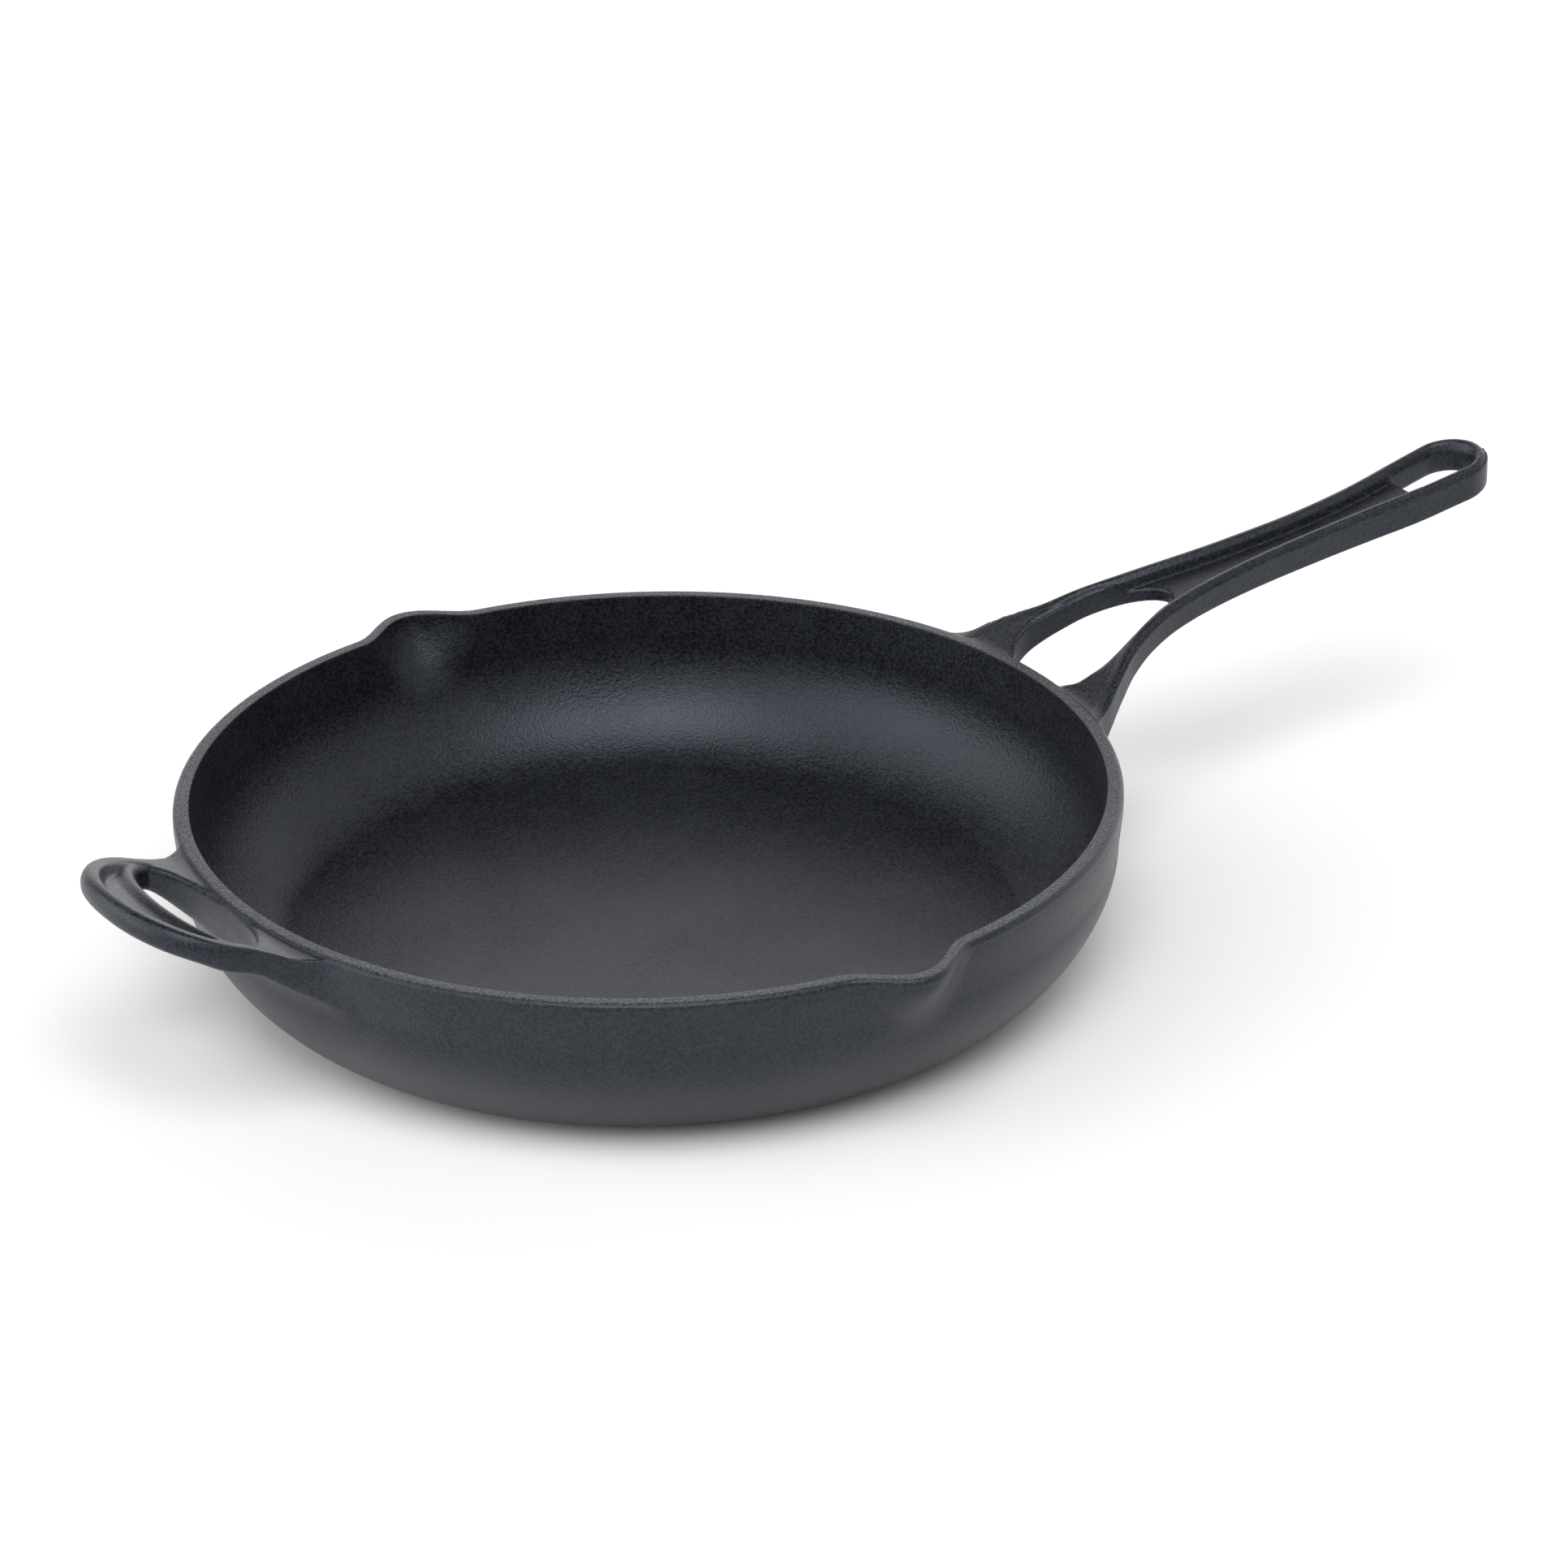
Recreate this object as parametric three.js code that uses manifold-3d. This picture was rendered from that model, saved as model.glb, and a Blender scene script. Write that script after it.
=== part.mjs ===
// A cast-iron skillet, 304 mm across the rim, with a long forked handle and a short helper handle.
// The real object is a single casting. Its three regions are separate bodies here, 0.3 mm apart.
// Millimetres, +Z up. The origin is the middle of the flat base, the long handle points along +X,
// the helper handle along -X, and the two pouring lips are at +Y and -Y.
import * as THREE from "three";
import { mergeVertices } from "three/addons/utils/BufferGeometryUtils.js";
import Module from "manifold-3d";

const wasm = await Module();
wasm.setup();

// ---- driving dimensions ----
const RIM_Z = 58; // height of the rim above the table
const RIM_RADIUS = 152; // widest radius of the plain wall, just below the rim
const FLOOR_Z = 7; // cooking surface, which is also the thickness of the base
const WALL = 4.5; // wall thickness at the rim
const ROOT_GAP = 0.3; // space between a handle root and the wall
const TURN_SEGMENTS = 128; // facets round the pan
const LIP_CROWDING = 0.28; // 0 spaces the facets evenly, more draws them towards the lips

const LIP_REACH = 10.5; // how far a pouring lip stands out of the wall
const LIP_HALF_ANGLE = THREE.MathUtils.degToRad(9); // half the lip's width, seen from the pan's middle
const LIP_DEPTH = 26; // how far down the wall the lip fades away
const LIP_BAND = 1.5; // upper part of the lip that keeps its full reach
const LIP_TAPER = 0.4; // share of the lip's width lost at its lower end

const LONG_TIP_X = 337; // far end of the long handle
const LONG_LOOP_RADIUS = 14.4; // rounded end of the long handle
const LONG_LOOP_X = LONG_TIP_X - LONG_LOOP_RADIUS;
const RAIL_WIDTH = 5.1; // width of the two raised rails
const WEB_DROP = 3.8; // how far the web lies below the rails
const FORK_ROOT_HALF_WIDTH = 13; // half the fork's opening where it meets the wall
const CHANNEL_START_X = 190; // the sunken web starts here, in the end of the fork's opening
const HOLE_START_X = 305.5; // square inner end of the hanging hole
const CHANNEL_OVERRUN = 2; // the web's channel runs this far into the hanging hole

const HELPER_BOW_X = 166; // where the helper handle's straight flanks turn into its bow
const HELPER_BOW_REACH = 29.3; // bow beyond that line
const HELPER_HALF_WIDTH = 38.2; // half the helper handle's width
const BOW_SQUARENESS = 2.25; // 2 makes the bow an ellipse, more makes its shoulders fuller
const FINGER_BOW_X = 163; // where the finger hole's outer side starts to curve
const FINGER_BOW_REACH = 13.2; // that curve's reach towards the bow
const FINGER_HALF_LENGTH = 32;
const RECESS_DEPTH = 2.6; // crescent-shaped recess in the top of the bow
const RECESS_START_X = 173; // its two horns end here
const RECESS_LAND = 4.6; // metal left outside the recess
const RECESS_BEAD = 1.8; // metal left between the recess and the finger hole, at the middle
const RECESS_BEAD_SIDE = 2.5; // the same beside the ends of the hole

// ---- limits of the cutting shapes, clear of the metal ----
const INSIDE_X = 138; // inside the wall
const CUT_LOW = 10;
const CUT_HIGH = RIM_Z + 60;
const CUT_HALF_WIDTH = 60;

const ON_AXIS = 0.001; // a radius below this is the turning axis
const CAST_IRON = { color: 0x2b2d31, roughness: 0.55, metalness: 0.35 };

// ---- small helpers ----
const point = (x, y) => new THREE.Vector2(x, y);

// A smooth line through stations given as [x, y].
function smoothLine(stations, divisions) {
  const curve = new THREE.SplineCurve(stations.map(([x, y]) => point(x, y)));
  return curve.getPoints(divisions);
}

function bezierPoints(a, b, c, d, divisions) {
  return new THREE.CubicBezierCurve(a, b, c, d).getPoints(divisions);
}

function arcPoints(centreX, radiusX, radiusY, fromDeg, toDeg, divisions) {
  const points = [];
  for (let i = 0; i <= divisions; i += 1) {
    const angle = THREE.MathUtils.degToRad(fromDeg + ((toDeg - fromDeg) * i) / divisions);
    points.push(point(centreX + radiusX * Math.cos(angle), radiusY * Math.sin(angle)));
  }
  return points;
}

const mirrored = (points) => points.map((p) => point(p.x, -p.y)).reverse();

function toSolid(geometry) {
  const bare = new THREE.BufferGeometry();
  const loose = geometry.index ? geometry.toNonIndexed() : geometry;
  bare.setAttribute("position", loose.getAttribute("position"));
  const merged = mergeVertices(bare, 1e-4);
  return new wasm.Manifold(
    new wasm.Mesh({
      numProp: 3,
      vertProperties: new Float32Array(merged.attributes.position.array),
      triVerts: new Uint32Array(merged.index.array),
    }),
  );
}

function toMesh(solid, name) {
  const data = solid.getMesh();
  const positions = new Float32Array(data.numVert * 3);
  for (let i = 0; i < data.numVert; i += 1) {
    const start = i * data.numProp;
    positions.set(data.vertProperties.subarray(start, start + 3), i * 3);
  }
  const geometry = new THREE.BufferGeometry();
  geometry.setAttribute("position", new THREE.BufferAttribute(positions, 3));
  geometry.setIndex(new THREE.BufferAttribute(new Uint32Array(data.triVerts), 1));
  geometry.computeVertexNormals();
  const mesh = new THREE.Mesh(geometry, new THREE.MeshStandardMaterial(CAST_IRON));
  mesh.name = name;
  return mesh;
}

// A plan outline (x, y) pushed up from zLow to zHigh.
function planPrism(outline, zLow, zHigh) {
  const shape = new THREE.Shape(outline);
  const geometry = new THREE.ExtrudeGeometry(shape, { depth: zHigh - zLow, bevelEnabled: false });
  geometry.translate(0, 0, zLow);
  return toSolid(geometry);
}

// A side outline (x, z) pushed out to both sides of the handle's middle plane.
function sidePrism(outline, halfWidth) {
  const shape = new THREE.Shape(outline);
  const geometry = new THREE.ExtrudeGeometry(shape, { depth: 2 * halfWidth, bevelEnabled: false });
  geometry.translate(0, 0, -halfWidth);
  geometry.rotateX(Math.PI / 2);
  return toSolid(geometry);
}

// Everything higher than a line of [x, z] stations lowered by a drop.
function spaceAbove(stations, divisions, drop) {
  const floor = smoothLine(stations, divisions).map((p) => point(p.x, p.y - drop));
  const last = floor[floor.length - 1];
  const outline = [...floor, point(last.x, CUT_HIGH), point(floor[0].x, CUT_HIGH)];
  return sidePrism(outline, CUT_HALF_WIDTH);
}

// ---- pan body ----
// Outside of the pan from the middle of the base to the top of the rim, as (radius, height).
function outerProfile() {
  const corner = bezierPoints(point(117, 0), point(132, 0), point(151.5, 24), point(150.5, 40), 9);
  return [
    point(0, 0),
    ...corner,
    point(RIM_RADIUS - 0.5, 48),
    point(RIM_RADIUS, 53.5),
    point(RIM_RADIUS - 0.3, 56.4),
    point(RIM_RADIUS - 1.8, RIM_Z),
  ];
}

// Inside of the pan from the top of the rim down to the middle of the cooking surface.
function innerProfile() {
  const corner = bezierPoints(
    point(146.2, 42),
    point(147.2, 24),
    point(128, FLOOR_Z),
    point(118, FLOOR_Z),
    9,
  );
  return [
    point(RIM_RADIUS - WALL + 1.2, RIM_Z),
    point(RIM_RADIUS - WALL, RIM_Z - 1.6),
    ...corner,
    point(0, FLOOR_Z),
  ];
}

function turned(profile) {
  const geometry = new THREE.LatheGeometry(profile, TURN_SEGMENTS);
  geometry.rotateX(Math.PI / 2);
  return geometry;
}

// How far a pouring lip pushes the wall outwards at one angle and height.
function lipPush(angle, z) {
  const fromLip = Math.abs(Math.abs(angle) - Math.PI / 2);
  const down = THREE.MathUtils.clamp((RIM_Z - LIP_BAND - z) / (LIP_DEPTH - LIP_BAND), 0, 1);
  const halfAngle = LIP_HALF_ANGLE * (1 - LIP_TAPER * down);
  if (fromLip >= halfAngle) return 0;
  const across = 0.5 + 0.5 * Math.cos((Math.PI * fromLip) / halfAngle);
  const along = 0.5 + 0.5 * Math.cos(Math.PI * down);
  return LIP_REACH * across * along;
}

// Draws the facets together near the lips, then presses the lips out of the wall.
function pressLips(geometry) {
  const position = geometry.getAttribute("position");
  for (let i = 0; i < position.count; i += 1) {
    const x = position.getX(i);
    const y = position.getY(i);
    const z = position.getZ(i);
    const even = Math.atan2(y, x);
    const angle = even + LIP_CROWDING * Math.sin(2 * even);
    const radius = Math.hypot(x, y);
    const pushed = radius > ON_AXIS ? radius + lipPush(angle, z) : radius;
    position.setXY(i, pushed * Math.cos(angle), pushed * Math.sin(angle));
  }
  return geometry;
}

function panBody() {
  return toSolid(pressLips(turned([...outerProfile(), ...innerProfile()])));
}

// The pan's outside grown by the root gap and carried on upwards: no handle reaches into it.
function rootCutter() {
  const grown = outerProfile().map((p) => point(p.x > 0 ? p.x + ROOT_GAP : 0, p.y));
  const rimEdge = grown[grown.length - 1];
  grown[0].y -= ROOT_GAP;
  grown[1].y -= ROOT_GAP;
  const profile = [...grown, point(rimEdge.x, CUT_HIGH), point(0, CUT_HIGH)];
  return toSolid(pressLips(turned(profile)));
}

// ---- long handle ----
// Top edge of the rails, as [x, height above the rim].
const LONG_TOP = [
  [INSIDE_X, -0.6],
  [150.5, -0.6],
  [160, 4.8],
  [170, 9.4],
  [185, 15.2],
  [205, 19.1],
  [235, 22.7],
  [265, 26],
  [295, 30.1],
  [318, 34.2],
  [342, 38.7],
].map(([x, above]) => [x, RIM_Z + above]);

// Underside, as [x, height above the rim]: it drops away towards the wall.
const LONG_UNDERSIDE = [
  [INSIDE_X, -19],
  [148, -15],
  [156, -8.8],
  [164, -3.8],
  [174, 1.2],
  [186, 5.9],
  [205, 9.8],
  [235, 12.9],
  [265, 15.6],
  [295, 19.2],
  [318, 23.4],
  [342, 27.9],
].map(([x, above]) => [x, RIM_Z + above]);

// Outer edge of the handle, as [x, half width]: wide legs, a slim grip and a rounded loop.
const LONG_EDGE = [
  [INSIDE_X, 52],
  [147, 42.5],
  [156, 36.8],
  [165, 30.7],
  [175, 24.4],
  [190, 18.7],
  [205, 15.3],
  [225, 12.5],
  [245, 11.1],
  [265, 10.6],
  [285, 11.3],
  [305, 13.2],
  [LONG_LOOP_X, LONG_LOOP_RADIUS],
];

// Inner edge of the legs from the wall round to the end of the opening, as [x, half width].
const FORK_EDGE = [
  [149, FORK_ROOT_HALF_WIDTH],
  [152.5, 14.5],
  [156, 18.4],
  [162, 20.2],
  [170, 19],
  [182, 15.7],
  [190, 13],
  [197, 9.9],
  [202.2, 6.2],
  [204.9, 2.6],
  [205.4, 0],
];

function longOutline() {
  const side = smoothLine(LONG_EDGE, 30);
  const loop = arcPoints(LONG_LOOP_X, LONG_LOOP_RADIUS, LONG_LOOP_RADIUS, 90, -90, 16);
  return [...side.slice(0, -1), ...loop, ...mirrored(side).slice(1)];
}

function forkOutline() {
  const side = smoothLine(FORK_EDGE, 22);
  return [
    point(INSIDE_X, FORK_ROOT_HALF_WIDTH),
    ...side,
    ...mirrored(side).slice(1),
    point(INSIDE_X, -FORK_ROOT_HALF_WIDTH),
  ];
}

// Inner edge of the rails from one x to another, as (x, half width).
function railInside(fromX, toX, divisions) {
  const edge = smoothLine(LONG_EDGE, 60);
  const points = [];
  for (let i = 0; i <= divisions; i += 1) {
    const x = fromX + ((toX - fromX) * i) / divisions;
    const after = edge.findIndex((p) => p.x >= x);
    const a = edge[after - 1];
    const b = edge[after];
    const width = a.y + ((b.y - a.y) * (x - a.x)) / (b.x - a.x);
    points.push(point(x, width - RAIL_WIDTH));
  }
  return points;
}

function holeOutline() {
  const side = railInside(HOLE_START_X, LONG_LOOP_X - 0.01, 4);
  const inner = LONG_LOOP_RADIUS - RAIL_WIDTH;
  const end = arcPoints(LONG_LOOP_X, inner, inner, 90, -90, 14);
  return [...side.slice(0, -1), ...end, ...mirrored(side).slice(1)];
}

// The channel between the rails: from the fork's opening to the hanging hole, above the web.
function webChannel() {
  const side = railInside(CHANNEL_START_X, HOLE_START_X + CHANNEL_OVERRUN, 14);
  const plan = planPrism([...side, ...mirrored(side)], CUT_LOW, CUT_HIGH);
  return plan.intersect(spaceAbove(LONG_TOP, 40, WEB_DROP));
}

function longHandle(cutter) {
  const top = smoothLine(LONG_TOP, 40);
  const underside = smoothLine(LONG_UNDERSIDE, 36);
  const ribbon = sidePrism([...top, ...underside.reverse()], CUT_HALF_WIDTH);
  return planPrism(longOutline(), CUT_LOW, CUT_HIGH)
    .intersect(ribbon)
    .subtract(planPrism(forkOutline(), CUT_LOW, CUT_HIGH))
    .subtract(planPrism(holeOutline(), CUT_LOW, CUT_HIGH))
    .subtract(webChannel())
    .subtract(cutter);
}

// ---- helper handle ----
// Drawn pointing along +X like the long handle, then turned round to point along -X.
const HELPER_TOP = [
  [INSIDE_X, -1],
  [150, -1],
  [156, 0.9],
  [164, 4.1],
  [172, 7.3],
  [180, 10.6],
  [188, 13.8],
  [200, 18.2],
].map(([x, above]) => [x, RIM_Z + above]);

const HELPER_UNDERSIDE = [
  [INSIDE_X, -17.5],
  [147, -15],
  [153, -13],
  [158, -10],
  [163, -6.3],
  [168, -2.8],
  [180, 2.4],
  [188, 5.6],
  [200, 10],
].map(([x, above]) => [x, RIM_Z + above]);

const HELPER_FLANK = [
  [INSIDE_X, 54],
  [144.5, 47.5],
  [151, 43],
  [158, 39.8],
  [HELPER_BOW_X, HELPER_HALF_WIDTH],
];

// Pan side of the finger hole, as [x, half length].
const FINGER_EDGE = [
  [151.2, 0],
  [151.9, 10],
  [153.1, 18],
  [155.2, 24.2],
  [158.6, 29.4],
  [FINGER_BOW_X, FINGER_HALF_LENGTH],
];

// Turns the sine or cosine of a circle into that of a curve with fuller shoulders.
const fuller = (value) => Math.max(value, 0) ** (2 / BOW_SQUARENESS);

function helperOutline() {
  const side = smoothLine(HELPER_FLANK, 12);
  const bow = arcPoints(0, 1, 1, 90, -90, 28).map((p) =>
    point(
      HELPER_BOW_X + HELPER_BOW_REACH * fuller(p.x),
      HELPER_HALF_WIDTH * Math.sign(p.y) * fuller(Math.abs(p.y)),
    ),
  );
  return [...side.slice(0, -1), ...bow, ...mirrored(side).slice(1)];
}

function fingerOutline() {
  const wallSide = smoothLine(FINGER_EDGE, 14);
  const bowSide = arcPoints(FINGER_BOW_X, FINGER_BOW_REACH, FINGER_HALF_LENGTH, 90, -90, 20);
  return [...wallSide.slice(1, -1), ...bowSide, ...mirrored(wallSide).slice(1)];
}

// The crescent-shaped recess between the finger hole and the outer lip.
function recessOutline() {
  const outerReach = HELPER_BOW_REACH - RECESS_LAND;
  const outerHalf = HELPER_HALF_WIDTH - RECESS_LAND;
  const innerReach = FINGER_BOW_REACH + RECESS_BEAD;
  const innerHalf = FINGER_HALF_LENGTH + RECESS_BEAD_SIDE;
  const outer = arcPoints(HELPER_BOW_X, outerReach, outerHalf, 90, -90, 24);
  const inner = arcPoints(FINGER_BOW_X, innerReach, innerHalf, -90, 90, 24);
  return [...outer, ...inner].filter((p) => p.x > RECESS_START_X);
}

function recessCut() {
  const plan = planPrism(recessOutline(), CUT_LOW, CUT_HIGH);
  return plan.intersect(spaceAbove(HELPER_TOP, 24, RECESS_DEPTH));
}

function helperHandle(cutter) {
  const top = smoothLine(HELPER_TOP, 24);
  const underside = smoothLine(HELPER_UNDERSIDE, 24);
  const ribbon = sidePrism([...top, ...underside.reverse()], CUT_HALF_WIDTH);
  return planPrism(helperOutline(), CUT_LOW, CUT_HIGH)
    .intersect(ribbon)
    .subtract(planPrism(fingerOutline(), CUT_LOW, CUT_HIGH))
    .subtract(recessCut())
    .rotate([0, 0, 180])
    .subtract(cutter);
}

// ---- the skillet ----
const cutter = rootCutter();
const skillet = new THREE.Group();
skillet.name = "skillet";
skillet.add(toMesh(panBody(), "pan_body"));
skillet.add(toMesh(longHandle(cutter), "long_handle"));
skillet.add(toMesh(helperHandle(cutter), "helper_handle"));

export default skillet;
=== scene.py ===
import math

import bpy
import numpy as np
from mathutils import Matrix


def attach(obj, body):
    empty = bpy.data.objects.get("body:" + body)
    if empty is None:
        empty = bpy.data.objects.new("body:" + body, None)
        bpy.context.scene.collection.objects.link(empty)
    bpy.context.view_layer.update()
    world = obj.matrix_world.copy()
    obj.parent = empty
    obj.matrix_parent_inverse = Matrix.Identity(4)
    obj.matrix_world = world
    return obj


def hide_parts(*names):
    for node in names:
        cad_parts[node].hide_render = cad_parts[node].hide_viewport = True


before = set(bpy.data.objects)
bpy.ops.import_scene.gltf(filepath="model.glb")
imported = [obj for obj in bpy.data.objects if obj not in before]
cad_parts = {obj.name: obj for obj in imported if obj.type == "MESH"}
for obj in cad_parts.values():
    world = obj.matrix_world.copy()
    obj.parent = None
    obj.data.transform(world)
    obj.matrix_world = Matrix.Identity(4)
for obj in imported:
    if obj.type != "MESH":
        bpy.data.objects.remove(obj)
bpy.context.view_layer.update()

import openvdb
from mathutils import Matrix, Vector

# A cast-iron skillet. The real object is one casting, so its three regions are three closed pieces
# here, and each handle carries the fillet that runs it into the wall. Lengths are millimetres in
# this file and become metres when a mesh is made. +X points along the long handle and +Z up.
MM = 0.001

# ---- driving dimensions, the same as the CAD's unless a comment says otherwise ----
RIM_Z = 58.0
FLOOR_Z = 7.0
LIP_REACH = 10.5         # how far a lip pushes the rim out
LIP_HALF_ANGLE = math.radians(9.0)
LIP_DEPTH = 26.0         # a lip has faded out this far below the rim
LIP_BAND = 1.5           # band at the top of the wall that is pushed out all the way
LIP_TAPER = 0.4          # share of its angle that a lip loses on its way down

LOOP_RADIUS = 14.4
LOOP_X = 337.0 - LOOP_RADIUS
RAIL_WIDTH = 5.1
WEB_DROP = 3.6           # web below the rails' outer edge, 3.8 in the CAD
HOLE_START_X = 305.5

HELPER_BOW_X = 166.0
HELPER_BOW_REACH = 29.3
HELPER_HALF_WIDTH = 38.2
BOW_SQUARENESS = 2.25    # 2 makes the bow an ellipse, more makes its shoulders fuller
FINGER_BOW_X = 163.0
FINGER_BOW_REACH = 13.2
FINGER_HALF_LENGTH = 32.0
RECESS_DEPTH = 2.8       # 2.6 in the CAD
INSIDE_X = 138.0         # a station inside the wall

# Stations of the long handle: [x, height above the rim] and [x, half width]. The beads stand on
# LONG_TOP here, so it lies up to 0.8 below the CAD's line.
LONG_TOP = [[INSIDE_X, -0.6], [150.5, -0.6], [160, 4.6], [170, 8.9], [185, 14.4], [205, 18.3],
            [235, 21.9], [265, 25.2], [295, 29.3], [318, 33.4], [342, 37.9]]
LONG_UNDERSIDE = [[INSIDE_X, -19], [148, -15], [156, -8.8], [164, -3.8], [174, 1.2], [186, 5.9],
                  [205, 9.8], [235, 12.9], [265, 15.6], [295, 19.2], [318, 23.4], [342, 27.9]]
LONG_EDGE = [[INSIDE_X, 52], [147, 42.5], [156, 36.8], [165, 30.7], [175, 24.4], [190, 18.7],
             [205, 15.3], [225, 12.5], [245, 11.1], [265, 10.6], [285, 11.3], [305, 13.2],
             [LOOP_X, LOOP_RADIUS]]
FORK_EDGE = [[149, 13], [152.5, 14.5], [156, 18.4], [162, 20.2], [170, 19], [182, 15.7],
             [190, 13.0], [197, 9.9], [202.2, 6.2], [204.9, 2.6], [205.4, 0]]

# Stations of the helper handle, drawn along +X and turned round afterwards. HELPER_UNDERSIDE
# lies up to 3 below the CAD's line at the wall, and is the same from x = 180 on.
HELPER_TOP = [[INSIDE_X, -1], [150, -1], [156, 0.9], [164, 4.1], [172, 7.3], [180, 10.6],
              [188, 13.8], [200, 18.2]]
HELPER_UNDERSIDE = [[INSIDE_X, -22], [147, -18.5], [152, -15.8], [154.5, -14.4], [157, -12.8],
                    [160.6, -9.9], [166, -5.6], [172, -2], [180, 2.4], [188, 5.6], [200, 10]]
HELPER_FLANK = [[INSIDE_X, 54], [144.5, 47.5], [151, 43], [158, 39.8],
                [HELPER_BOW_X, HELPER_HALF_WIDTH]]
FINGER_EDGE = [[151.2, 0], [151.9, 10], [153.1, 18], [155.2, 24.2], [158.6, 29.4],
               [FINGER_BOW_X, FINGER_HALF_LENGTH]]

# ---- finer shapes of the visual model ----
PAN_COLUMNS = 720        # columns of the pan's mesh, all the way round
LIP_CROWDING = 0.28      # draws those columns together at the lips

RAIL_CREST = 2.75        # the crest of a rail lies this far in from the handle's edge
RAIL_BEAD = 2.1          # half the width of its rounded bead
CROWN_AT_WALL = 0.2      # height of the bead
CROWN_GAIN = 0.85        # what it gains along the legs
BEAD_POWER = 2.4         # 2 makes a bead's section a parabola, more makes it flatter on top
GROOVE_DEPTH = 0.8       # crease along each side of the bead
GROOVE_WIDTH = 0.55
INNER_GROOVE_SHARE = 0.3    # the crease on the web's side, against the one outside
FORK_GROOVE_INSET = 0.8  # the crease round the fork lies this far from its edge
WEB_SIDE = (-0.2, 1.2)   # the side of the web, measured inwards from the rail's width
# Where along X each feature of the long handle fades in, or fades out again.
CROWN_START_X = (160, 182)
OUTER_GROOVE_START_X = (152, 162)
FORK_GROOVE_START_X = (158, 168)
FORK_GROOVE_END_X = (184, 192)
WEB_START_X = (184, 190)
WEB_END_X = (304, 307)

HELPER_CREST = 2.7       # the crest of the bow lies this far in from its edge
HELPER_BEAD = 2.5        # half the width of its rounded bead
HELPER_CROWN = 0.55      # height of the bead
HELPER_THICKNESS = 8.6
LEAN_AT_ROOT = 0.7       # how far the top of the flank leans in
LEAN_AT_BOW = 1.6        # what that gains towards the bow
LEAN_SHARE = 0.6         # share of the thickness that leans
FINGER_INSET = 0.5       # the finger hole is drawn this much smaller, and its rounding opens it
# The recess lies between two ellipses, each given by its reach and half its length.
RECESS_OUTER = (24.7, 31.9)
RECESS_INNER = (14.4, 34.0)
RECESS_OUTER_WALL = (0.6, -1.9)    # it deepens between these distances from the outer ellipse
RECESS_INNER_SLOPE = (-0.2, 5.0)   # and between these from the inner one
# Where along X each feature of the helper handle fades in.
HELPER_BEAD_START_X = (152, 166)
ROOT_LEAN_START_X = (150, 166)
BOW_LEAN_START_X = (168, 188)
RECESS_START_X = (163, 172)
STRAIGHT_UNDERSIDE_START_X = (160, 176)

# How far the edges are rounded, from smooth_max().
LONG_FLANK_ROUNDING = 0.5
LONG_UNDERSIDE_ROUNDING = 1.0
FORK_ROUNDING = 1.3
HOLE_ROUNDING = 2.4
HELPER_FLANK_ROUNDING = 0.8
HELPER_UNDERSIDE_ROUNDING = 2.4
FINGER_ROUNDING = 3.0

FILLET_AT_RIM = 0.8      # reach of the fillet between a handle and the wall
FILLET_GAIN = 4.2        # what it gains further down
FILLET_Z = (57.2, 49.0)  # between these heights
PAST_FILLET = 0.4        # a piece is cut off this far beyond its fillet's reach
WALL_DIP = 0.04          # a fillet ends this far under the surface of the wall
ROOT_RADIUS = 148.3      # a handle's piece ends here, in the metal of the wall


# ---- curves and distances ----
def smooth_line(stations, count):
    """Points of a Catmull-Rom line through the stations."""
    p = np.asarray(stations, float)
    p = np.vstack([p[:1], p, p[-1:]])
    t = np.linspace(0, len(p) - 3, count)
    i = np.minimum(t.astype(int), len(p) - 4)
    u = (t - i)[:, None]
    a, b, c, d = p[i], p[i + 1], p[i + 2], p[i + 3]
    return 0.5 * (2 * b + (c - a) * u + (2 * a - 5 * b + 4 * c - d) * u**2
                  + (3 * b - a - 3 * c + d) * u**3)


def height_along(stations, x):
    """The smooth line's second value at each x."""
    line = smooth_line(stations, 400)
    return np.interp(x, line[:, 0], line[:, 1])


def bezier(a, b, c, d, count):
    """Points of a cubic Bezier curve."""
    t = np.linspace(0, 1, count)[:, None]
    a, b, c, d = (np.asarray(q, float) for q in (a, b, c, d))
    return a * (1 - t)**3 + 3 * b * t * (1 - t)**2 + 3 * c * t**2 * (1 - t) + d * t**3


def arc(centre, radius_x, radius_y, start, end, count):
    """Points of an ellipse's arc, with angles in degrees."""
    t = np.radians(np.linspace(start, end, count))
    return np.stack([centre[0] + radius_x * np.cos(t), centre[1] + radius_y * np.sin(t)], -1)


def mirrored(line):
    """The line on the other side of the handle's middle plane, run backwards."""
    return (line * [1, -1])[::-1]


def outline_distance(outline, x, y):
    """Signed distance to a closed outline, below zero inside it."""
    nearest = np.full(x.shape, 1e9)
    inside = np.zeros(x.shape, bool)
    for (ax, ay), (bx, by) in zip(outline, np.roll(outline, -1, axis=0)):
        dx, dy = bx - ax, by - ay
        length2 = dx * dx + dy * dy
        if length2 < 1e-12:
            continue
        t = np.clip(((x - ax) * dx + (y - ay) * dy) / length2, 0, 1)
        nearest = np.minimum(nearest, (x - ax - t * dx)**2 + (y - ay - t * dy)**2)
        if dy != 0:
            crosses = (ay > y) != (by > y)
            inside ^= crosses & (x < ax + (y - ay) * dx / dy)
    distance = np.sqrt(nearest)
    return np.where(inside, -distance, distance)


def smooth_step(low, high, value):
    """0 at low and 1 at high, flat beyond both. Low may be the larger of the two."""
    t = np.clip((value - low) / (high - low), 0, 1)
    return t * t * (3 - 2 * t)


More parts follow.
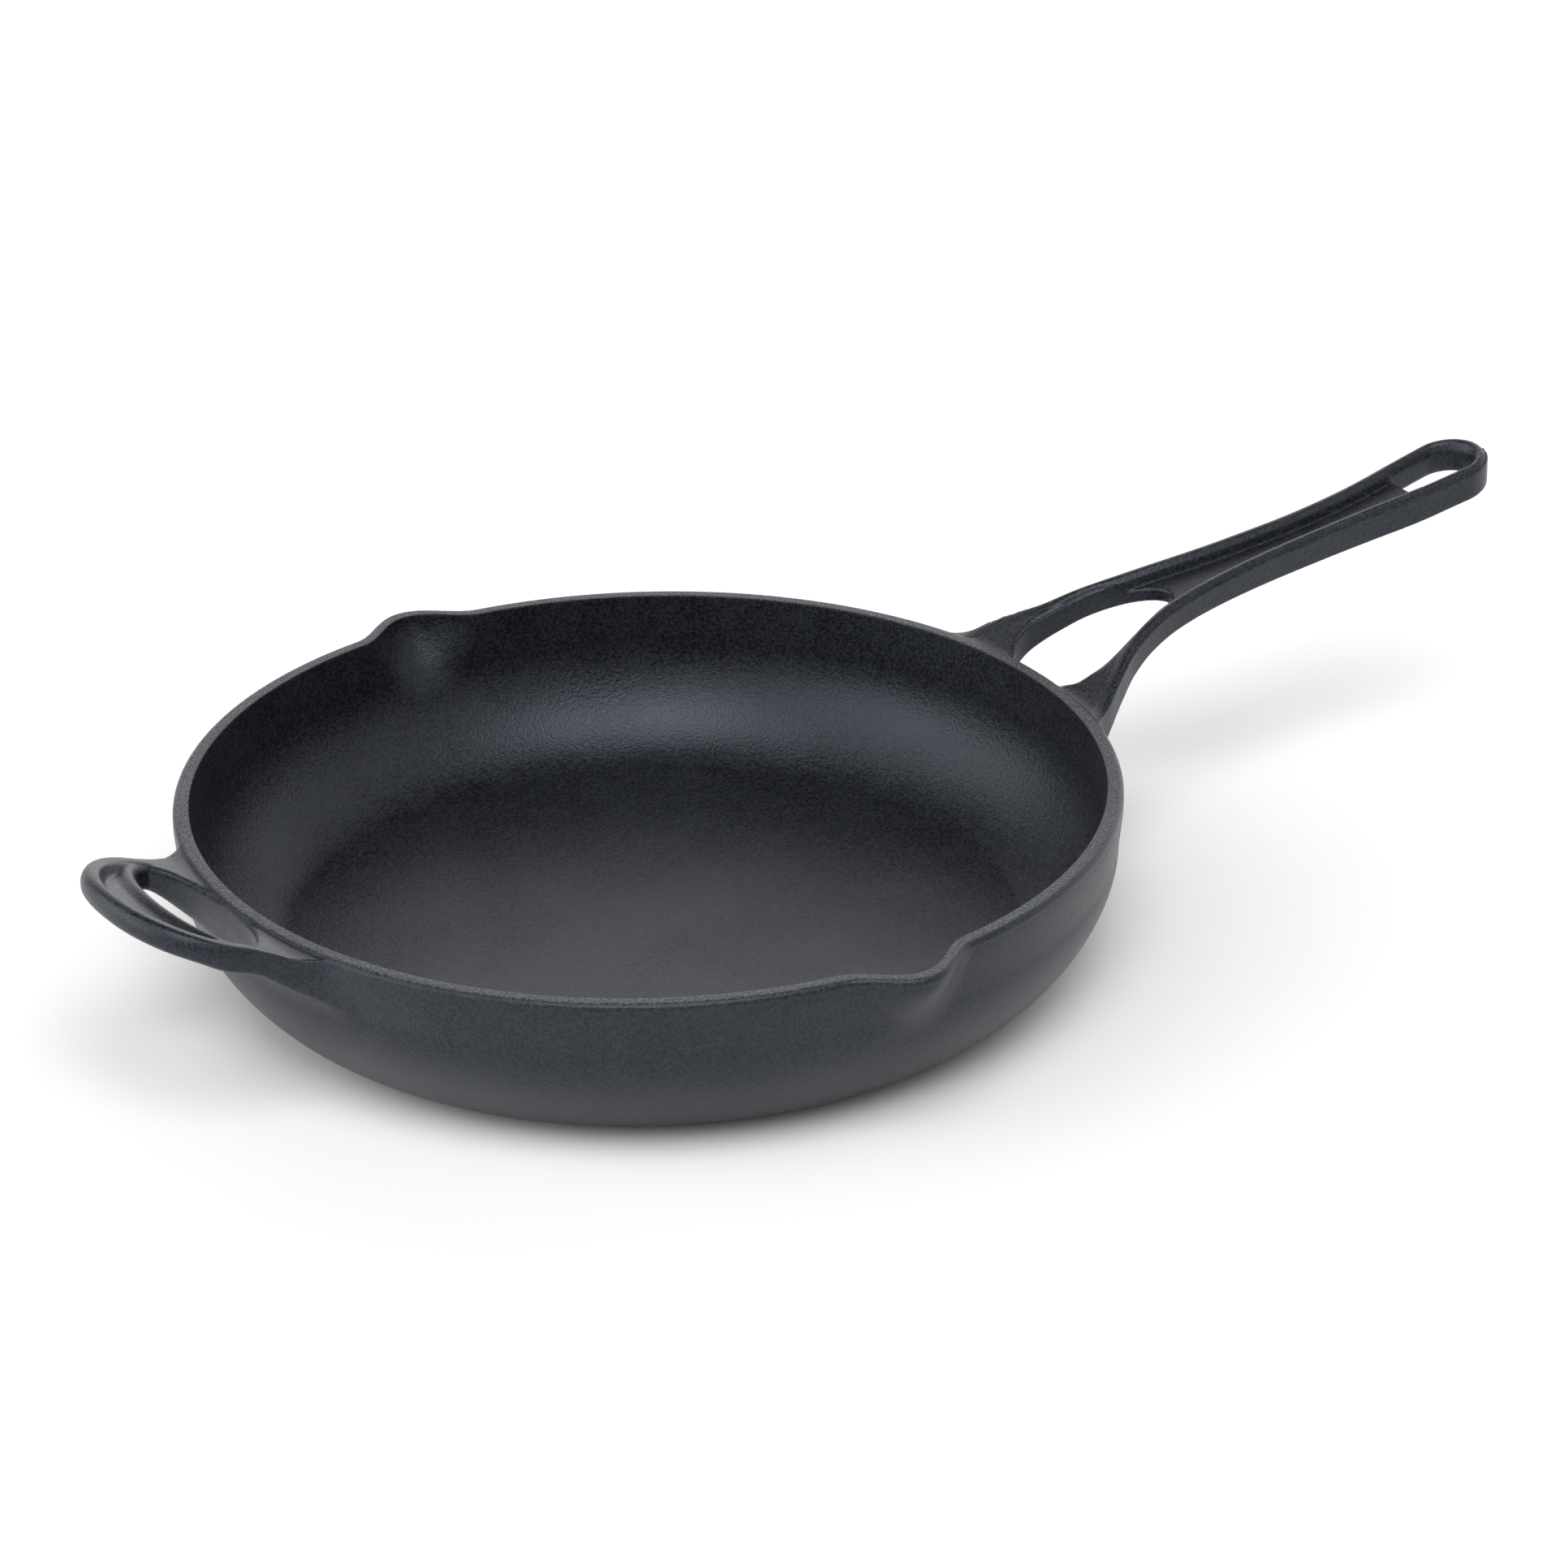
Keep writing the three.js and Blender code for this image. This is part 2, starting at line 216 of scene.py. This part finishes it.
def smooth_min(a, b, reach):
    """The smaller of two distances, with the corner between them filled over that reach."""
    h = np.maximum(reach - np.abs(a - b), 0) / reach
    return np.minimum(a, b) - h * h * reach * 0.25


def smooth_max(a, b, reach):
    """The larger of two distances, with the corner between them rounded over that reach."""
    return -smooth_min(-a, -b, reach)


# ---- pan body ----
def outer_profile():
    """(radius, height) from the middle of the base to the outer edge of the rim's top."""
    corner = bezier((117, 0), (132, 0), (151.5, 24), (150.5, 40), 34)
    wall = smooth_line([[150.5, 40], [151.5, 48], [152, 53], [151.98, 55.6]], 12)
    edge = arc((150.1, 55.8), 1.9, 2.2, -5, 90, 11)
    rings = [[0, 0], [30, 0], [60, 0], [85, 0], [102, 0], [111, 0], [115, 0]]
    return np.vstack([rings, corner, wall[1:], edge])


def inner_profile():
    """(radius, height) from the inner edge of the rim's top to the middle of the floor."""
    edge = arc((147.25, 57.5), 0.5, 0.5, 90, 184, 6)
    corner = bezier((146.2, 42), (147.2, 24), (128, FLOOR_Z), (118, FLOOR_Z), 36)
    wall = smooth_line([edge[-1], [146.45, 50], [146.2, 42]], 9)
    rings = [[r, FLOOR_Z] for r in (116, 112, 105, 94, 80, 62, 42, 20, 0)]
    return np.vstack([edge, wall[1:], corner[1:], rings])


def lip_push(angle, z):
    """How far a pouring lip pushes the wall outwards."""
    from_lip = np.abs(np.abs(angle) - math.pi / 2)
    down = np.clip((RIM_Z - LIP_BAND - z) / (LIP_DEPTH - LIP_BAND), 0, 1)
    half_angle = LIP_HALF_ANGLE * (1 - LIP_TAPER * down)
    across = 0.5 + 0.5 * np.cos(math.pi * np.minimum(from_lip / half_angle, 1))
    along = 0.5 + 0.5 * np.cos(math.pi * down)
    return LIP_REACH * across * along


def pan_mesh():
    """Vertices and faces of the pan: rings round its axis, with the two lips pressed out."""
    profile = np.vstack([outer_profile(), inner_profile()])[1:-1]
    even = np.linspace(-math.pi, math.pi, PAN_COLUMNS, endpoint=False)
    angle = even + LIP_CROWDING * np.sin(2 * even)
    radius = profile[:, :1] + lip_push(angle[None, :], profile[:, 1:2])
    height = np.broadcast_to(profile[:, 1:2], radius.shape)
    rings = np.stack([radius * np.cos(angle), radius * np.sin(angle), height], -1).reshape(-1, 3)
    base_middle = len(rings)
    floor_middle = base_middle + 1
    vertices = np.vstack([rings, [[0, 0, 0], [0, 0, FLOOR_Z]]])
    column = np.arange(PAN_COLUMNS)
    following = (column + 1) % PAN_COLUMNS
    faces = []
    for row in range(len(profile) - 1):
        a = row * PAN_COLUMNS
        b = a + PAN_COLUMNS
        faces += np.stack([a + column, a + following, b + following, b + column], -1).tolist()
    base_fan = [np.full(PAN_COLUMNS, base_middle), following, column]
    faces += np.stack(base_fan, -1).tolist()
    last = (len(profile) - 1) * PAN_COLUMNS
    floor_fan = [last + column, last + following, np.full(PAN_COLUMNS, floor_middle)]
    faces += np.stack(floor_fan, -1).tolist()
    return vertices, faces


# ---- solids given by a distance, for the handles ----
class Block:
    """A block of sample points, with a distance to the pan's outside at each."""

    def __init__(self, x_range, half_width, z_range, spacing):
        self.spacing = np.array(spacing)
        self.x = np.arange(*x_range, spacing[0])
        self.y = np.arange(-half_width, half_width + spacing[1], spacing[1])
        self.z = np.arange(*z_range, spacing[2])
        self.plan_x, self.plan_y = np.meshgrid(self.x, self.y, indexing="ij")
        self.radius = np.hypot(self.plan_x, self.plan_y)[:, :, None]
        self.pan = self.pan_distance()

    def pan_distance(self):
        """Distance to the pan's outside, looked up in a table over radius and height."""
        outline = np.vstack([outer_profile(), [[0, RIM_Z]]])
        step = 0.25
        radii = np.arange(130, 360, step)
        r, z = np.meshgrid(radii, self.z, indexing="ij")
        table = outline_distance(outline, r, z)
        place = (self.radius[:, :, 0] - radii[0]) / step
        low = np.clip(place.astype(int), 0, len(radii) - 2)
        share = (place - low)[:, :, None]
        return (table[low] * (1 - share) + table[low + 1] * share).astype(np.float32)

    def below(self, surface):
        """Distance to the space under a surface that is given over the plan."""
        slope_x, slope_y = np.gradient(surface, self.spacing[0], self.spacing[1])
        flat = 1 / np.sqrt(1 + slope_x**2 + slope_y**2)
        return ((self.z - surface[:, :, None]) * flat[:, :, None]).astype(np.float32)

    def mesh(self, distance):
        """Vertices and faces of the surface where the distance is zero."""
        grid = openvdb.FloatGrid()
        grid.copyFromArray(np.ascontiguousarray(distance, dtype=np.float32))
        points, quads = grid.convertToQuads(0.0)
        origin = np.array([self.x[0], self.y[0], self.z[0]])
        return points * self.spacing + origin, quads.tolist()


def joined_to_wall(block, handle):
    """The handle with a fillet to the wall, cut off inside the wall and just past the fillet."""
    reach = FILLET_AT_RIM + FILLET_GAIN * smooth_step(*FILLET_Z, block.z)
    united = smooth_min(handle, block.pan + WALL_DIP, reach.astype(np.float32))
    inside = ROOT_RADIUS - block.radius
    past_fillet = handle - (reach.max() + PAST_FILLET)
    return np.maximum(np.maximum(united, inside), past_fillet)


# ---- long handle ----
def long_outline():
    side = smooth_line(LONG_EDGE, 90)
    loop = arc((LOOP_X, 0), LOOP_RADIUS, LOOP_RADIUS, 90, -90, 48)
    return np.vstack([side[:-1], loop, mirrored(side)[1:]])


def fork_outline():
    side = smooth_line(FORK_EDGE, 80)
    return np.vstack([[[INSIDE_X, 13]], side, mirrored(side)[1:], [[INSIDE_X, -13]]])


def hole_outline():
    side = smooth_line(LONG_EDGE, 400)
    side = side[side[:, 0] > HOLE_START_X] - [0, RAIL_WIDTH]
    inner = LOOP_RADIUS - RAIL_WIDTH
    end = arc((LOOP_X, 0), inner, inner, 90, -90, 36)
    return np.vstack([side[:-1], end, mirrored(side)[1:]])


def crease(from_middle):
    """Depth of a crease, from the distance to its middle line."""
    return GROOVE_DEPTH * np.exp(-(from_middle / GROOVE_WIDTH)**2)


def long_top_surface(block, from_edge, from_fork):
    """Rounded rails along both edges, creased along their sides, and the sunken web between."""
    x = block.plan_x
    line = RIM_Z + height_along(LONG_TOP, x)
    crown = CROWN_AT_WALL + CROWN_GAIN * smooth_step(*CROWN_START_X, x)
    across = np.abs(from_edge - RAIL_CREST)
    rail = crown * np.maximum(1 - (across / RAIL_BEAD)**BEAD_POWER, 0)
    outside = crease(from_edge - RAIL_CREST + RAIL_BEAD) * smooth_step(*OUTER_GROOVE_START_X, x)
    has_web = smooth_step(*WEB_START_X, x) * (1 - smooth_step(*WEB_END_X, x))
    inside = INNER_GROOVE_SHARE * crease(from_edge - RAIL_CREST - RAIL_BEAD) * has_web
    along_fork = smooth_step(*FORK_GROOVE_START_X, x) * (1 - smooth_step(*FORK_GROOVE_END_X, x))
    beside_fork = crease(from_fork - FORK_GROOVE_INSET) * along_fork
    rail = rail - outside - inside - beside_fork
    web = WEB_DROP * smooth_step(RAIL_WIDTH + WEB_SIDE[0], RAIL_WIDTH + WEB_SIDE[1], from_edge)
    return line + rail - web * has_web


def long_handle_mesh():
    block = Block((136, 339.5), half_width=58, z_range=(36, 99), spacing=(0.6, 0.36, 0.36))
    edge = outline_distance(long_outline(), block.plan_x, block.plan_y)
    underside = RIM_Z + height_along(LONG_UNDERSIDE, block.plan_x)
    fork = outline_distance(fork_outline(), block.plan_x, block.plan_y)
    top = block.below(long_top_surface(block, -edge, fork))
    solid = smooth_max(top, edge[:, :, None], LONG_FLANK_ROUNDING)
    solid = smooth_max(solid, -block.below(underside), LONG_UNDERSIDE_ROUNDING)
    solid = smooth_max(solid, -fork[:, :, None], FORK_ROUNDING)
    hole = outline_distance(hole_outline(), block.plan_x, block.plan_y)
    solid = smooth_max(solid, -hole[:, :, None], HOLE_ROUNDING)
    return block.mesh(joined_to_wall(block, solid.astype(np.float32)))


# ---- helper handle ----
def helper_outline():
    side = smooth_line(HELPER_FLANK, 40)
    circle = arc((0, 0), 1, 1, 90, -90, 90)
    fuller = np.sign(circle) * np.abs(circle)**(2 / BOW_SQUARENESS)
    bow = [HELPER_BOW_X, 0] + fuller * [HELPER_BOW_REACH, HELPER_HALF_WIDTH]
    return np.vstack([side[:-1], bow, mirrored(side)[1:]])


def finger_outline():
    side = smooth_line(FINGER_EDGE, 40)
    bow = arc((FINGER_BOW_X, 0), FINGER_BOW_REACH, FINGER_HALF_LENGTH, 90, -90, 60)
    return np.vstack([side[:-1], bow, mirrored(side)[1:]])


def recess_depth(block):
    """A crescent beyond the finger hole, steep along the outer land and rising gently inwards."""
    outer = arc((HELPER_BOW_X, 0), *RECESS_OUTER, 0, 360, 121)[:-1]
    inner = arc((FINGER_BOW_X, 0), *RECESS_INNER, 0, 360, 121)[:-1]
    within = outline_distance(outer, block.plan_x, block.plan_y)
    beyond = outline_distance(inner, block.plan_x, block.plan_y)
    outer_wall = smooth_step(*RECESS_OUTER_WALL, within)
    inner_slope = smooth_step(*RECESS_INNER_SLOPE, beyond)
    inner_slope = inner_slope * smooth_step(*RECESS_START_X, block.plan_x)
    return RECESS_DEPTH * outer_wall * inner_slope


def helper_top_surface(block, from_edge):
    line = RIM_Z + height_along(HELPER_TOP, block.plan_x)
    across = np.abs(from_edge - HELPER_CREST) / HELPER_BEAD
    bead = HELPER_CROWN * np.maximum(1 - across**BEAD_POWER, 0)
    bead = bead * smooth_step(*HELPER_BEAD_START_X, block.plan_x)
    return line + bead - recess_depth(block)


def helper_mesh():
    block = Block((136, 198), half_width=62, z_range=(36, 82), spacing=(0.42, 0.42, 0.42))
    x = block.plan_x
    edge = outline_distance(helper_outline(), x, block.plan_y)
    line = RIM_Z + height_along(HELPER_TOP, x)
    # Near the wall the underside follows the wall's curve, and further out it follows X.
    radius = block.radius[:, :, 0]
    station = radius + (x - radius) * smooth_step(*STRAIGHT_UNDERSIDE_START_X, x)
    underside = RIM_Z + height_along(HELPER_UNDERSIDE, station)
    share = np.clip((line[:, :, None] - block.z) / HELPER_THICKNESS, 0, 1)
    lean = LEAN_AT_ROOT * smooth_step(*ROOT_LEAN_START_X, x)
    lean = lean + LEAN_AT_BOW * smooth_step(*BOW_LEAN_START_X, x)
    flank = edge[:, :, None] + lean[:, :, None] * np.clip(1 - share / LEAN_SHARE, 0, 1)**2
    top = block.below(helper_top_surface(block, -edge - lean))
    solid = smooth_max(top, flank, HELPER_FLANK_ROUNDING)
    solid = smooth_max(solid, -block.below(underside), HELPER_UNDERSIDE_ROUNDING)
    finger = outline_distance(finger_outline(), x, block.plan_y)
    solid = smooth_max(solid, -finger[:, :, None] - FINGER_INSET, FINGER_ROUNDING)
    vertices, faces = block.mesh(joined_to_wall(block, solid.astype(np.float32)))
    return vertices * [-1, -1, 1], faces


# ---- pieces ----
def add_piece(name, mesh_data, node, material):
    vertices, faces = mesh_data
    mesh = bpy.data.meshes.new(name)
    mesh.from_pydata((np.asarray(vertices) * MM).tolist(), [], faces)
    mesh.polygons.foreach_set("use_smooth", [True] * len(mesh.polygons))
    mesh.materials.append(material)
    mesh.update()
    piece = bpy.data.objects.new(name, mesh)
    bpy.context.scene.collection.objects.link(piece)
    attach(piece, "root")
    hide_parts(node)
    return piece


# ---- material ----
SPECULAR_LEVEL = 0.46
COOL_TINT = (0.79, 0.86, 1.0, 1)
DARK_IRON = (0.0034, 0.0040, 0.0055, 1)
PALE_IRON = (0.0180, 0.0200, 0.0250, 1)
GROUND_IRON = (0.075, 0.079, 0.088, 1)
# Depths of the grain's bump in millimetres, from the widest to the finest, and of the rim's pits.
WAVE_DEPTH = 0.2
PEEL_DEPTH = 0.18
FINE_DEPTH = 0.17
PIT_DEPTH = 0.30


class MaterialNodes:
    """A new material, with short ways to add the kinds of node that are used here."""

    def __init__(self, name):
        self.material = bpy.data.materials.new(name)
        self.material.use_nodes = True
        self.nodes = self.material.node_tree.nodes
        self.links = self.material.node_tree.links
        self.shader = self.nodes["Principled BSDF"]
        coordinates = self.add("TexCoord")
        in_millimetres = self.add("VectorMath", operation="SCALE")
        in_millimetres.inputs["Scale"].default_value = 1 / MM
        self.links.new(coordinates.outputs["Object"], in_millimetres.inputs[0])
        self.place = in_millimetres.outputs[0]

    def add(self, kind, **settings):
        made = self.nodes.new("ShaderNode" + kind)
        for key, value in settings.items():
            setattr(made, key, value)
        return made

    def noise(self, per_millimetre, detail, roughness):
        made = self.add("TexNoise")
        made.inputs["Scale"].default_value = per_millimetre
        made.inputs["Detail"].default_value = detail
        made.inputs["Roughness"].default_value = roughness
        self.links.new(self.place, made.inputs["Vector"])
        return made.outputs["Fac"]

    def mapped(self, value, low, high, to_low, to_high):
        made = self.add("MapRange", interpolation_type="SMOOTHSTEP")
        made.inputs["From Min"].default_value = low
        made.inputs["From Max"].default_value = high
        made.inputs["To Min"].default_value = to_low
        made.inputs["To Max"].default_value = to_high
        self.links.new(value, made.inputs["Value"])
        return made.outputs["Result"]

    def product(self, a, b):
        """A value times a number or another value."""
        made = self.add("Math", operation="MULTIPLY")
        self.links.new(a, made.inputs[0])
        if isinstance(b, float):
            made.inputs[1].default_value = b
        else:
            self.links.new(b, made.inputs[1])
        return made.outputs[0]

    def total(self, a, b):
        made = self.add("Math", operation="ADD")
        self.links.new(a, made.inputs[0])
        self.links.new(b, made.inputs[1])
        return made.outputs[0]

    def bump(self, height, depth, below=None):
        """Relief of a depth in millimetres, on top of the relief below it."""
        made = self.add("Bump")
        made.inputs["Distance"].default_value = depth * MM
        self.links.new(height, made.inputs["Height"])
        if below is not None:
            self.links.new(below, made.inputs["Normal"])
        return made.outputs["Normal"]


def grind_rim(iron, colour, rough, relief):
    """The top of the rim, where the ground metal shows paler between its pits."""
    parts = iron.add("SeparateXYZ")
    iron.links.new(iron.place, parts.inputs[0])
    on_rim = iron.mapped(parts.outputs["Z"], RIM_Z - 0.3, RIM_Z - 0.1, 0.0, 1.0)
    pits = iron.mapped(iron.noise(1.0, 3.0, 0.65), 0.42, 0.58, 0.0, 1.0)
    mix = iron.add("Mix", data_type="RGBA")
    share = iron.product(on_rim, iron.mapped(pits, 0, 1, 0.1, 0.9))
    iron.links.new(share, mix.inputs["Factor"])
    iron.links.new(colour, mix.inputs["A"])
    mix.inputs["B"].default_value = GROUND_IRON
    rough = iron.total(rough, iron.product(on_rim, 0.08))
    relief = iron.bump(iron.product(pits, on_rim), PIT_DEPTH, relief)
    return mix.outputs["Result"], rough, relief


def cast_iron(name, ground_rim):
    """Seasoned iron: cast grain at three sizes, speckle, and on the pan a paler ground rim."""
    iron = MaterialNodes(name)
    iron.shader.inputs["Metallic"].default_value = 0.0
    iron.shader.inputs["Specular IOR Level"].default_value = SPECULAR_LEVEL
    iron.shader.inputs["Specular Tint"].default_value = COOL_TINT

    fine = iron.noise(1.2, 2.5, 0.65)
    peel = iron.noise(0.6, 2.0, 0.55)
    patches = iron.mapped(iron.noise(0.022, 1.0, 0.5), 0.42, 0.66, 0.35, 1.0)
    waves = iron.noise(0.035, 1.0, 0.4)
    tone = iron.noise(0.06, 3.0, 0.6)
    speckle = iron.mapped(iron.noise(0.9, 2.0, 0.6), 0.35, 0.65, -0.18, 0.18)

    relief = iron.bump(waves, WAVE_DEPTH)
    relief = iron.bump(iron.product(peel, patches), PEEL_DEPTH, relief)
    relief = iron.bump(fine, FINE_DEPTH, relief)

    shade = iron.total(iron.mapped(tone, 0.3, 0.7, 0.45, 0.55), speckle)
    ramp = iron.add("ValToRGB")
    dark, pale = ramp.color_ramp.elements
    dark.position = 0.3
    dark.color = DARK_IRON
    pale.position = 0.7
    pale.color = PALE_IRON
    iron.links.new(shade, ramp.inputs[0])
    colour = ramp.outputs[0]
    gloss_change = iron.product(patches, 0.03)
    rough = iron.total(iron.mapped(shade, 0.25, 0.75, 0.30, 0.40), gloss_change)

    if ground_rim:
        colour, rough, relief = grind_rim(iron, colour, rough, relief)
    iron.links.new(colour, iron.shader.inputs["Base Color"])
    iron.links.new(rough, iron.shader.inputs["Roughness"])
    iron.links.new(relief, iron.shader.inputs["Normal"])
    return iron.material


# ---- surroundings ----
FLOOR_SIZE = 6.0                   # metres from its middle to its edge
FLOOR_GREY = 0.9
FLOOR_DROP = 0.0002                # keeps the floor clear of the pan's base
CAMERA_TURN = math.radians(-31)    # from the front, round towards the helper handle
CAMERA_ELEVATION = 0.450852        # radians
CAMERA_DISTANCE = 1.9491           # metres from the middle of the rim
CAMERA_LENS = 139.75               # millimetres, on a 36 mm sensor
# Small turns that put the object in its place in the frame, in radians.
CAMERA_YAW = -0.0222494
CAMERA_PITCH = -0.0007868
CAMERA_ROLL = 0.0282058
# Soft panels as (azimuth, elevation, half width, brightness). The angles are in degrees, with
# azimuth 0 on the camera's side and 90 on its right. The last panel is the key light.
SOFT_PANELS = ((45, 8, 45, 0.45), (135, 8, 45, 1.2), (180, 8, 45, 1.75), (-90, 8, 45, 2.3),
               (-45, 8, 45, 0.3), (0, 38, 45, 0.35), (-45, 38, 45, 0.85), (-90, 38, 45, 0.6),
               (90, 38, 45, 0.6), (5, 62, 29, 4.9))


def make_floor():
    mesh = bpy.data.meshes.new("floor")
    signs = ((-1, -1), (1, -1), (1, 1), (-1, 1))
    corners = [(x * FLOOR_SIZE, y * FLOOR_SIZE, 0) for x, y in signs]
    mesh.from_pydata(corners, [], [(0, 1, 2, 3)])
    floor = bpy.data.objects.new("floor", mesh)
    bpy.context.scene.collection.objects.link(floor)
    material = bpy.data.materials.new("pale_floor")
    material.use_nodes = True
    shader = material.node_tree.nodes["Principled BSDF"]
    shader.inputs["Base Color"].default_value = (FLOOR_GREY, FLOOR_GREY, FLOOR_GREY, 1)
    shader.inputs["Roughness"].default_value = 0.9
    shader.inputs["Specular IOR Level"].default_value = 0.0
    mesh.materials.append(material)
    floor.location.z = -FLOOR_DROP


def studio_direction(azimuth, elevation):
    """A direction in the studio. Azimuth 0 is the camera's side and 90 is its right."""
    a = math.radians(azimuth) + CAMERA_TURN
    e = math.radians(elevation)
    return Vector((math.sin(a) * math.cos(e), -math.cos(a) * math.cos(e), math.sin(e)))


def make_lights():
    """Large soft panels all round: bright patches of the surroundings that fade at their edges."""
    world = bpy.data.worlds.new("studio")
    bpy.context.scene.world = world
    world.use_nodes = True
    nodes, links = world.node_tree.nodes, world.node_tree.links
    coordinates = nodes.new("ShaderNodeTexCoord")
    strength = None
    for azimuth, elevation, half_width, brightness in SOFT_PANELS:
        facing = nodes.new("ShaderNodeVectorMath")
        facing.operation = "DOT_PRODUCT"
        facing.inputs[1].default_value = studio_direction(azimuth, elevation)
        links.new(coordinates.outputs["Generated"], facing.inputs[0])
        panel = nodes.new("ShaderNodeMapRange")
        panel.interpolation_type = "SMOOTHSTEP"
        panel.inputs["From Min"].default_value = math.cos(math.radians(half_width))
        panel.inputs["From Max"].default_value = 1
        panel.inputs["To Max"].default_value = brightness
        links.new(facing.outputs["Value"], panel.inputs["Value"])
        if strength is None:
            strength = panel.outputs["Result"]
            continue
        both = nodes.new("ShaderNodeMath")
        links.new(strength, both.inputs[0])
        links.new(panel.outputs["Result"], both.inputs[1])
        strength = both.outputs[0]
    nodes["Background"].inputs["Color"].default_value = (1, 1, 1, 1)
    links.new(strength, nodes["Background"].inputs["Strength"])


def make_camera():
    """At the photograph's viewing angle, aimed near the middle of the rim."""
    turn = Matrix.Rotation(CAMERA_TURN, 3, "Z")
    back = -CAMERA_DISTANCE * math.cos(CAMERA_ELEVATION)
    place = Vector((0, back, CAMERA_DISTANCE * math.sin(CAMERA_ELEVATION)))
    ahead = -place.normalized()
    right = Vector((1, 0, 0))
    up = right.cross(ahead)
    spin = Matrix.Rotation(CAMERA_YAW, 3, up)
    ahead = spin @ ahead
    right = spin @ right
    spin = Matrix.Rotation(CAMERA_PITCH, 3, right)
    ahead = spin @ ahead
    up = spin @ up
    spin = Matrix.Rotation(CAMERA_ROLL, 3, ahead)
    right = spin @ right
    up = spin @ up
    columns = Matrix((turn @ right, turn @ up, -(turn @ ahead))).transposed()
    data = bpy.data.cameras.new("camera")
    data.sensor_width = 36
    data.lens = CAMERA_LENS
    data.clip_end = 100
    camera = bpy.data.objects.new("camera", data)
    camera.matrix_world = columns.to_4x4()
    camera.location = turn @ place + Vector((0, 0, RIM_Z * MM))
    bpy.context.scene.collection.objects.link(camera)
    bpy.context.scene.camera = camera


make_camera()
make_lights()
make_floor()
pan_iron = cast_iron("cast_iron_pan", ground_rim=True)
handle_iron = cast_iron("cast_iron_handles", ground_rim=False)
add_piece("pan_casting", pan_mesh(), "pan_body", pan_iron)
add_piece("long_handle_casting", long_handle_mesh(), "long_handle", handle_iron)
add_piece("helper_handle_casting", helper_mesh(), "helper_handle", handle_iron)
bpy.context.scene.view_settings.view_transform = "Standard"
